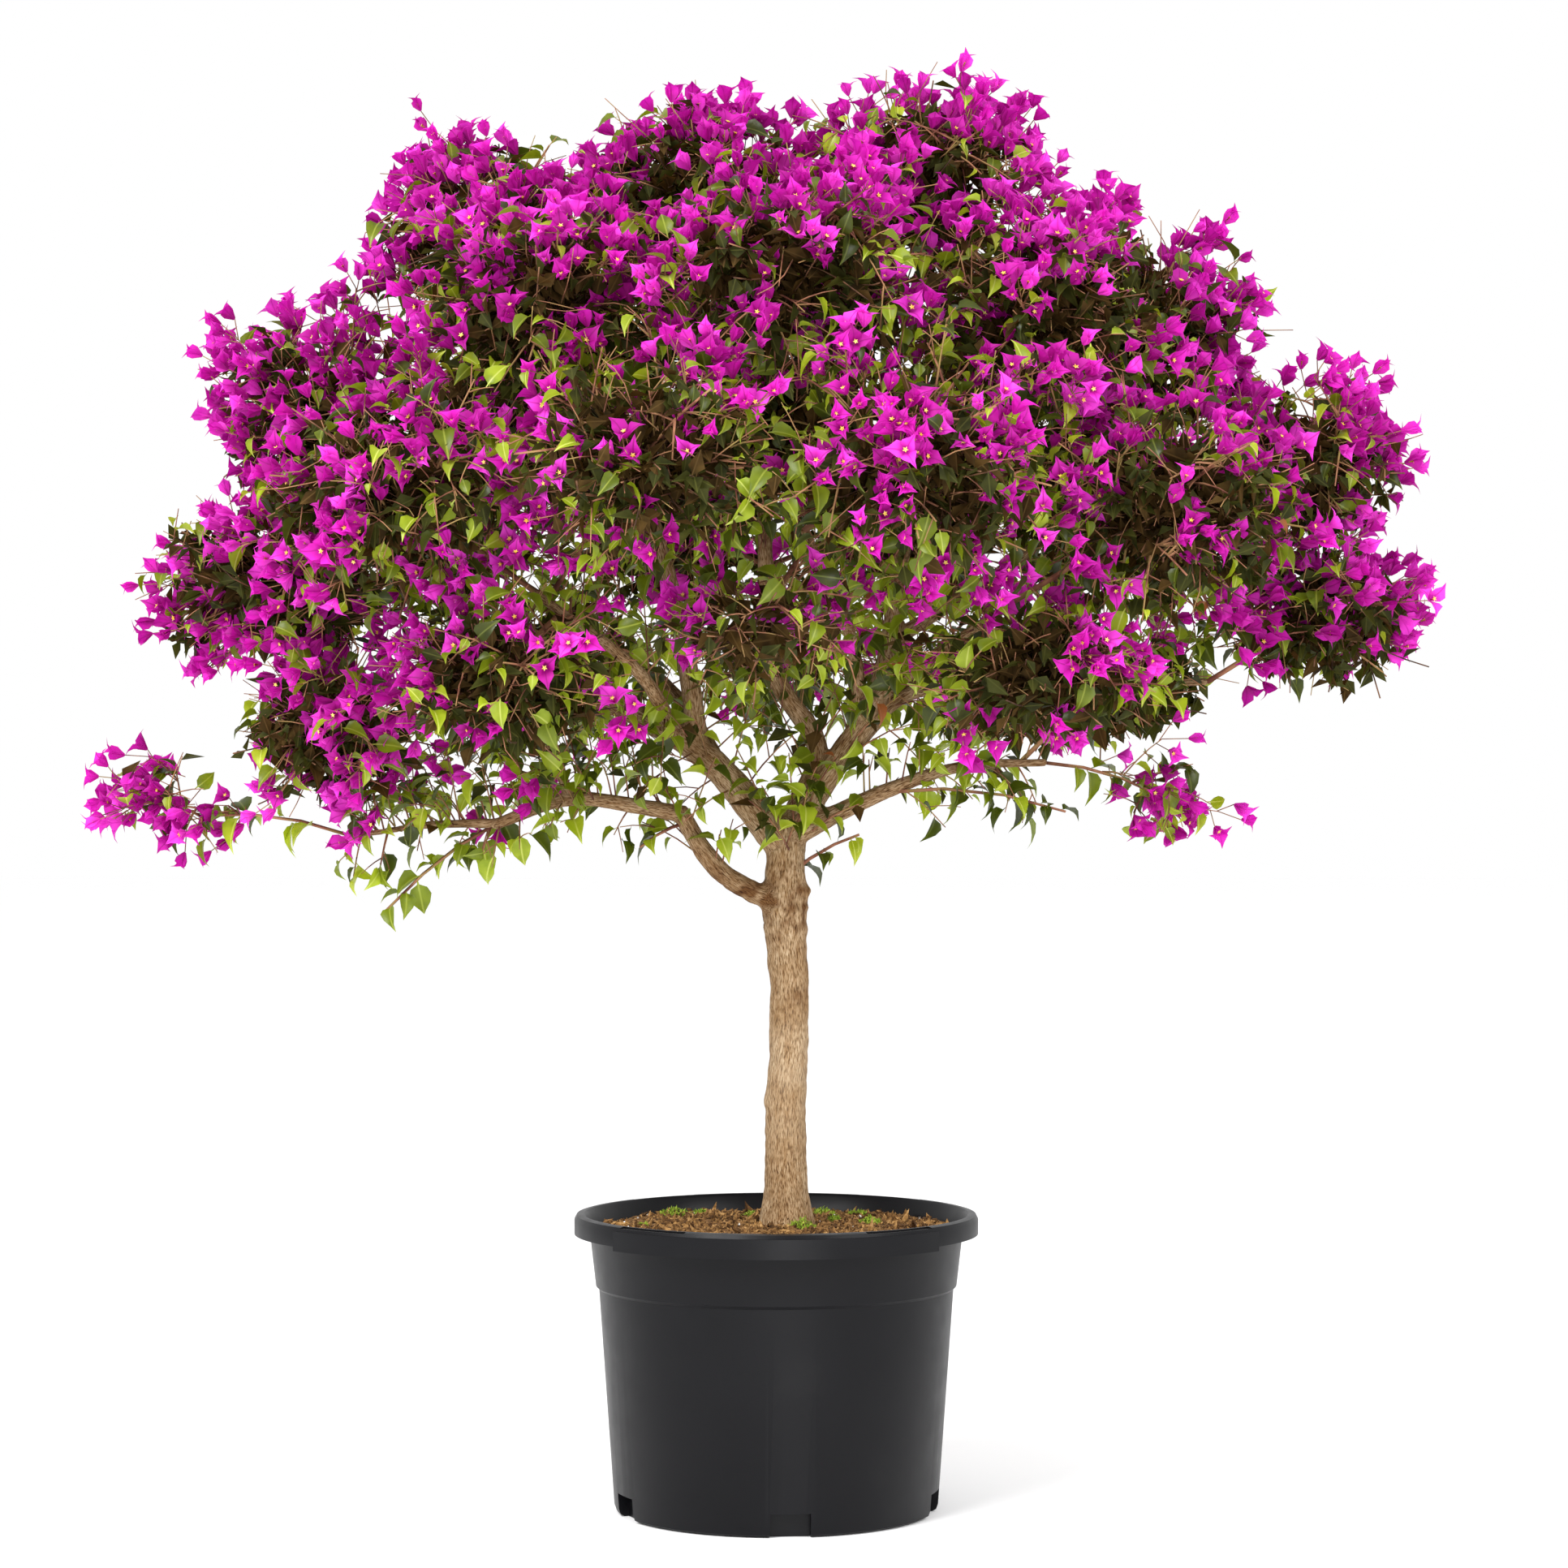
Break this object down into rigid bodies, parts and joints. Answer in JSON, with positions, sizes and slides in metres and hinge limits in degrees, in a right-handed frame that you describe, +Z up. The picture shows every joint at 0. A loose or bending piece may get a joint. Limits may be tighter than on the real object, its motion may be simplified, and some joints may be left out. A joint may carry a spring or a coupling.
{
  "type": "bougainvillea standard tree in a nursery pot",
  "caption": "Bougainvillea trained as a small tree: clean stem, wide flowering crown on spreading boughs, in a black nursery pot.",
  "frame": {"origin": "centre of the pot's flat underside, on the surface that it stands on", "axes": "+Z up along the pot's axis; X along the crown's widest spread; -Y is the crown's front"},
  "size_m": [1.4987, 1.2218, 1.638],
  "materials": {
    "pot": "satin black, moulded",
    "soil": "crumbly, matt",
    "bark": "pale tan bark with fine vertical fissures",
    "foliage": "glossy leaf green",
    "blossom": "papery magenta bracts"
  },
  "bodies": {
    "root": {"pot": "pot", "soil": "soil", "trunk": "bark", "bough_low_left": "bark", "bough_long_left": "bark", "bough_left_end": "bark", "bough_left_riser": "bark", "bough_main_left": "bark", "bough_up_left": "bark", "bough_centre": "bark", "bough_right_up": "bark", "bough_front": "bark", "bough_low_right": "bark", "bough_long_right": "bark", "bough_right_shoulder": "bark", "bough_front_left": "bark", "bough_front_right": "bark", "bough_back_left": "bark", "bough_back_right": "bark", "bough_back": "bark", "mass_top_left": "blossom", "mass_top_middle": "blossom", "mass_top_right": "blossom", "mass_right_top": "blossom", "mass_left_shoulder": "blossom", "mass_left_middle": "blossom", "mass_right_middle": "blossom", "mass_right_outer": "blossom", "mass_top_front": "blossom", "mass_top_front_left": "blossom", "mass_top_front_right": "blossom", "mass_top_back": "blossom", "mass_top_back_left": "blossom", "mass_top_back_right": "blossom", "mass_left_front": "blossom", "mass_front_left": "blossom", "mass_front_right": "blossom", "mass_right_front": "blossom", "mass_right_back": "blossom", "mass_back_right": "blossom", "mass_back_left": "blossom", "mass_left_back": "blossom", "mass_left_inner": "foliage", "mass_centre": "foliage", "mass_right_inner": "foliage", "mass_left_low": "foliage", "mass_low_front_left": "foliage", "mass_low_front_right": "foliage", "mass_low_right": "foliage", "mass_low_back_right": "foliage", "mass_low_back_left": "foliage", "mass_low_front": "foliage", "mass_low_back": "foliage", "mass_low_left_inner": "foliage", "spray_left_tip": "blossom", "spray_right_drooping": "blossom", "spray_hanging_left": "foliage", "spray_right_low": "foliage", "spray_trunk_right": "foliage", "spray_trunk_left": "foliage"}
  },
  "joints": []
}
